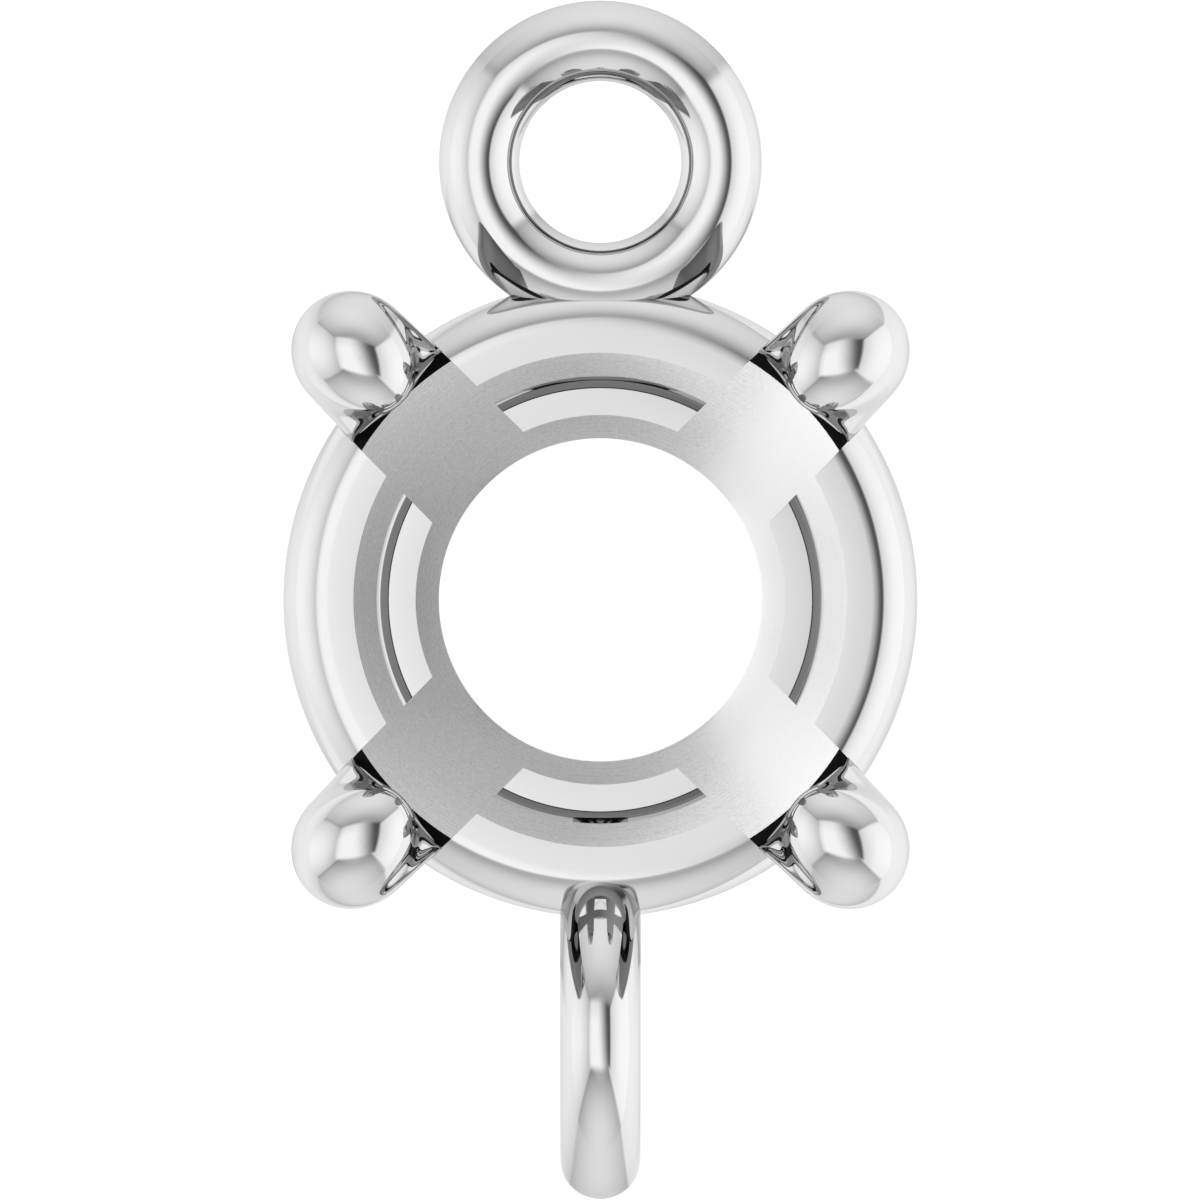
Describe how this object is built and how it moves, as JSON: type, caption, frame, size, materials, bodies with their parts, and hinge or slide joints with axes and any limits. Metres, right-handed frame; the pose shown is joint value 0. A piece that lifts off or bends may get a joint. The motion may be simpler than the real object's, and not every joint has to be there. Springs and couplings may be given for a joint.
{
  "type": "four-prong link setting",
  "caption": "Cast basket setting for a round faceted stone: two rings, leaning prongs with a cut seat, and two link rings at right angles to each other.",
  "frame": {"origin": "middle of the whole part in plan, at the underside of the lower ring, on the stone's axis", "axes": "+Z along the stone's axis towards the prong tips, +Y towards the flat link ring, -Y towards the standing link ring"},
  "size_m": [0.004, 0.0074, 0.0036],
  "materials": {
    "polished_white_metal": "mirror polish, with a satin cut in the stone seat"
  },
  "bodies": {
    "root": {"setting": "polished_white_metal"}
  },
  "joints": []
}
